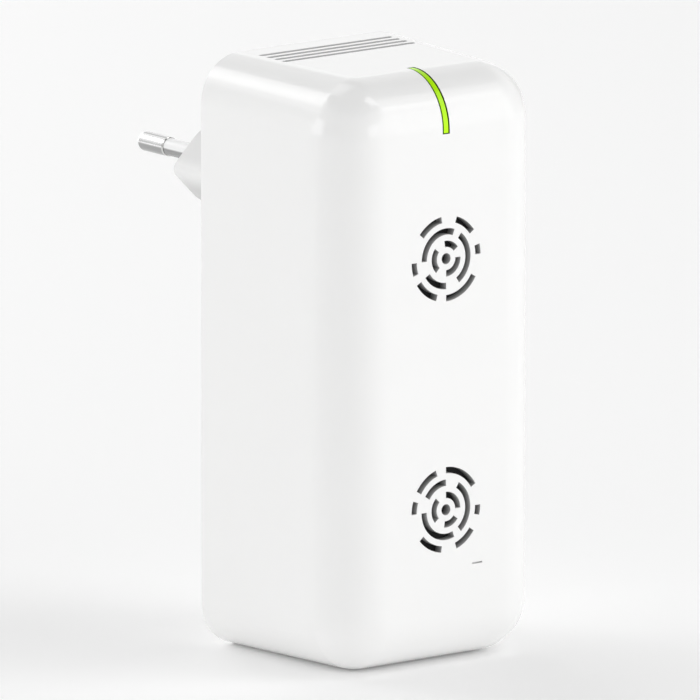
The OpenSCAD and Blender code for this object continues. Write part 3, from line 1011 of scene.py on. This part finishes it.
def boss_flange():
    bpy.ops.mesh.primitive_cube_add(
        size=1, location=(0, boss_flange_low + boss_flange_thickness / 2, -boss_drop),
        scale=(boss_flange_width, boss_flange_thickness, boss_flange_height))
    flange = open_up("boss_flange")
    pick("EDGE", lambda edge: abs(edge.verts[0].co.y - edge.verts[1].co.y) > hair)
    bpy.ops.mesh.bevel(offset=flange_corner, segments=6)
    close_up()
    return flange


def pin_seat(side):
    """Cutter for one pin's hole: sleeve, flange pocket and shank."""
    return turned("pin_seat", [
        (boss_high.y - boss_nose - overcut, shank_radius + pin_play),
        (pin_flange_start - pin_play, shank_radius + pin_play),
        (pin_flange_start - pin_play, pin_flange + pin_play),
        (pin_flange_stop + pin_play, pin_flange + pin_play),
        (pin_flange_stop + pin_play, sleeve_radius + pin_play),
        (boss_high.y + overcut, sleeve_radius + pin_play),
    ], side * pin_x, 0, 64)


def white_with_painted_shade():
    """Satin white ABS with painted shade on the slanting faces, more on the lower one."""
    material, shader, place = new_finish("white_abs_with_painted_shade", 0.4, IOR=1.5)
    height = place.part(2)
    # Painted shade: the lower slanting face is greyed most, the upper one less, and the rounded
    # band between them stays white.
    under = 1 - height.ramp(-boss_drop - 0.0045, -boss_drop - 0.0005)
    over = height.ramp(-boss_drop + 0.0005, -boss_drop + 0.003)
    grey = under * 0.24 + over * 0.13 + (place.noise(60, 3) - 0.5) * 0.02
    grey.tint((0.86, 0.86, 0.855), (0, 0, 0)).feeds(shader, "Base Color")
    (place.noise(300) * 0.1 + 0.36).feeds(shader, "Roughness")
    place.noise(3200, 4).bump(0.00002, 0.35).feeds(shader, "Normal")
    return material


boss = boss_body()
carve(boss, boss_flange(), "UNION")
flange_holes = [(side * boss_screw_x, -boss_drop, flange_hole, boss_flange_low - overcut,
                 boss_flange_low + boss_flange_thickness + overcut) for side in both_sides]
hollow = boss_prism("boss_hollow", -boss_wall + hollow_softening, boss_flange_low - overcut,
                    boss_high.y - boss_nose)
carve(boss, gather([hollow, pin_seat(-1), pin_seat(1), posts("flange_holes", flange_holes)]))
polish(boss)
dress(boss, white_with_painted_shade())
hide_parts("plug_boss")
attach(boss, "housing")
dress(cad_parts["plug_boss_screws"], zinc)

# ---- Pins and sleeves -------------------------------------------------------
# Two turned brass pins, nickel plated, 4 mm thick with a rounded nose.  A pale grey nylon
# sleeve insulates the half nearer the boss, so no live metal shows as the plug goes in.

pin_radius = 0.002
pin_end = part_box("plug_pin_right")[1].y
pin_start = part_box("plug_pin_right")[0].y
sleeve_start, sleeve_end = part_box("pin_sleeve_right")[0].y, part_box("pin_sleeve_right")[1].y
nose_round = 0.0012
nose_steps = 8
nose_middle = 0.0002
tail_radius = 0.001
tail_stop = -0.008
ring_step = 0.0001


def plug_pin(name, x):
    """One pin: its tail, its flange, the thin part under the sleeve, and the bare end."""
    steps = [
        (pin_start, tail_radius), (tail_stop, tail_radius),
        (tail_stop, shank_radius), (pin_flange_start, shank_radius),
        (pin_flange_start, pin_flange), (pin_flange_stop, pin_flange),
        (pin_flange_stop, shank_radius), (sleeve_end, shank_radius),
        (sleeve_end, pin_radius - ring_step), (sleeve_end + ring_step, pin_radius),
    ]
    for step in range(nose_steps + 1):
        turn = math.radians(90 / nose_steps * step)
        steps.append((pin_end - nose_round * (1 - math.sin(turn)),
                      pin_radius - nose_round * (1 - math.cos(turn))))
    steps.append((pin_end, nose_middle))
    return turned(name, steps, x, 0, 64)


def pin_sleeve(name, x):
    """A thin tube: its wall's outline, softened at the outer corners and spun round."""
    inner = shank_radius + pin_play
    bpy.ops.mesh.primitive_plane_add(
        size=1, location=(x + (inner + sleeve_radius) / 2, (sleeve_start + sleeve_end) / 2, 0))
    bpy.context.active_object.scale = (sleeve_radius - inner, sleeve_end - sleeve_start, 1)
    tube = open_up(name)
    pick("VERT", lambda vert: vert.co.x > x + sleeve_radius - hair)
    bpy.ops.mesh.bevel(affect="VERTICES", offset=ring_step, segments=3)
    bpy.ops.mesh.select_all(action="SELECT")
    bpy.ops.mesh.spin(steps=64, angle=2 * math.pi, center=(x, 0, 0), axis=(0, 1, 0))
    bpy.ops.mesh.select_all(action="SELECT")
    bpy.ops.mesh.remove_doubles(threshold=hair / 10)
    close_up()
    return tube


def painted_shade_and_reflection(place, bright, dull):
    """Bright on the flanks, with painted shade underneath and a painted dark reflection in a
    line along the top.
    """
    height = place.part(2)
    # Painted shade below the axis and a painted dark reflection in a thin line near the top,
    # with a little random mottling.
    painted_dark = 1 - height.ramp(-0.0002, 0.0002) + height.ramp(0.00178, 0.00186) * 0.8
    cloud = (place.noise(500, 4) - 0.5) * 0.08
    return (painted_dark + cloud).tint((bright,) * 3, (dull,) * 3)


def nickel_plate():
    """Bright nickel with the faint rings that turning leaves and a matt first edge; past that
    edge it carries painted shade underneath and a painted dark reflection along the top.
    """
    material, shader, place = new_finish("nickel_plate", 0.16, Metallic=1.0)
    y = place.part(1)
    edge = y.ramp(sleeve_end + 0.0004, sleeve_end + 0.0005)
    # Past the first edge: painted shade underneath and a painted dark reflection along the top.
    edge.blend((0.68, 0.68, 0.67, 1), painted_shade_and_reflection(place, 0.95, 0.4)).feeds(shader, "Base Color")
    tool_pitch = 0.00018
    rings = (y + place.noise(400) * 0.0002).wave(tool_pitch)
    (place.noise(500, 4) * 0.12 + 0.1).feeds(shader, "Roughness")
    rings.bump(0.000003, 0.4).feeds(shader, "Normal")
    return material


def sleeve_nylon():
    """Pale grey nylon, polished by the socket, with painted shade underneath and a painted dark
    reflection along its top.
    """
    material, shader, place = new_finish("pale_grey_nylon", 0.25, IOR=1.53)
    # Painted shade underneath and a painted dark reflection along the top.
    painted_shade_and_reflection(place, 0.94, 0.31).feeds(shader, "Base Color")
    (place.noise(900, 3) * 0.08 + 0.2).feeds(shader, "Roughness")
    place.noise(4000).bump(0.000003, 0.3).feeds(shader, "Normal")
    return material


nickel = nickel_plate()
nylon = sleeve_nylon()
for side_name, side in (("left", -1), ("right", 1)):
    pin = plug_pin(f"pin_{side_name}_turned", side * pin_x)
    polish(pin)
    dress(pin, nickel)
    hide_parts("plug_pin_" + side_name)
    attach(pin, "housing")
    sleeve = pin_sleeve(f"sleeve_{side_name}_tube", side * pin_x)
    polish(sleeve)
    dress(sleeve, nylon)
    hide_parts("pin_sleeve_" + side_name)
    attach(sleeve, "housing")
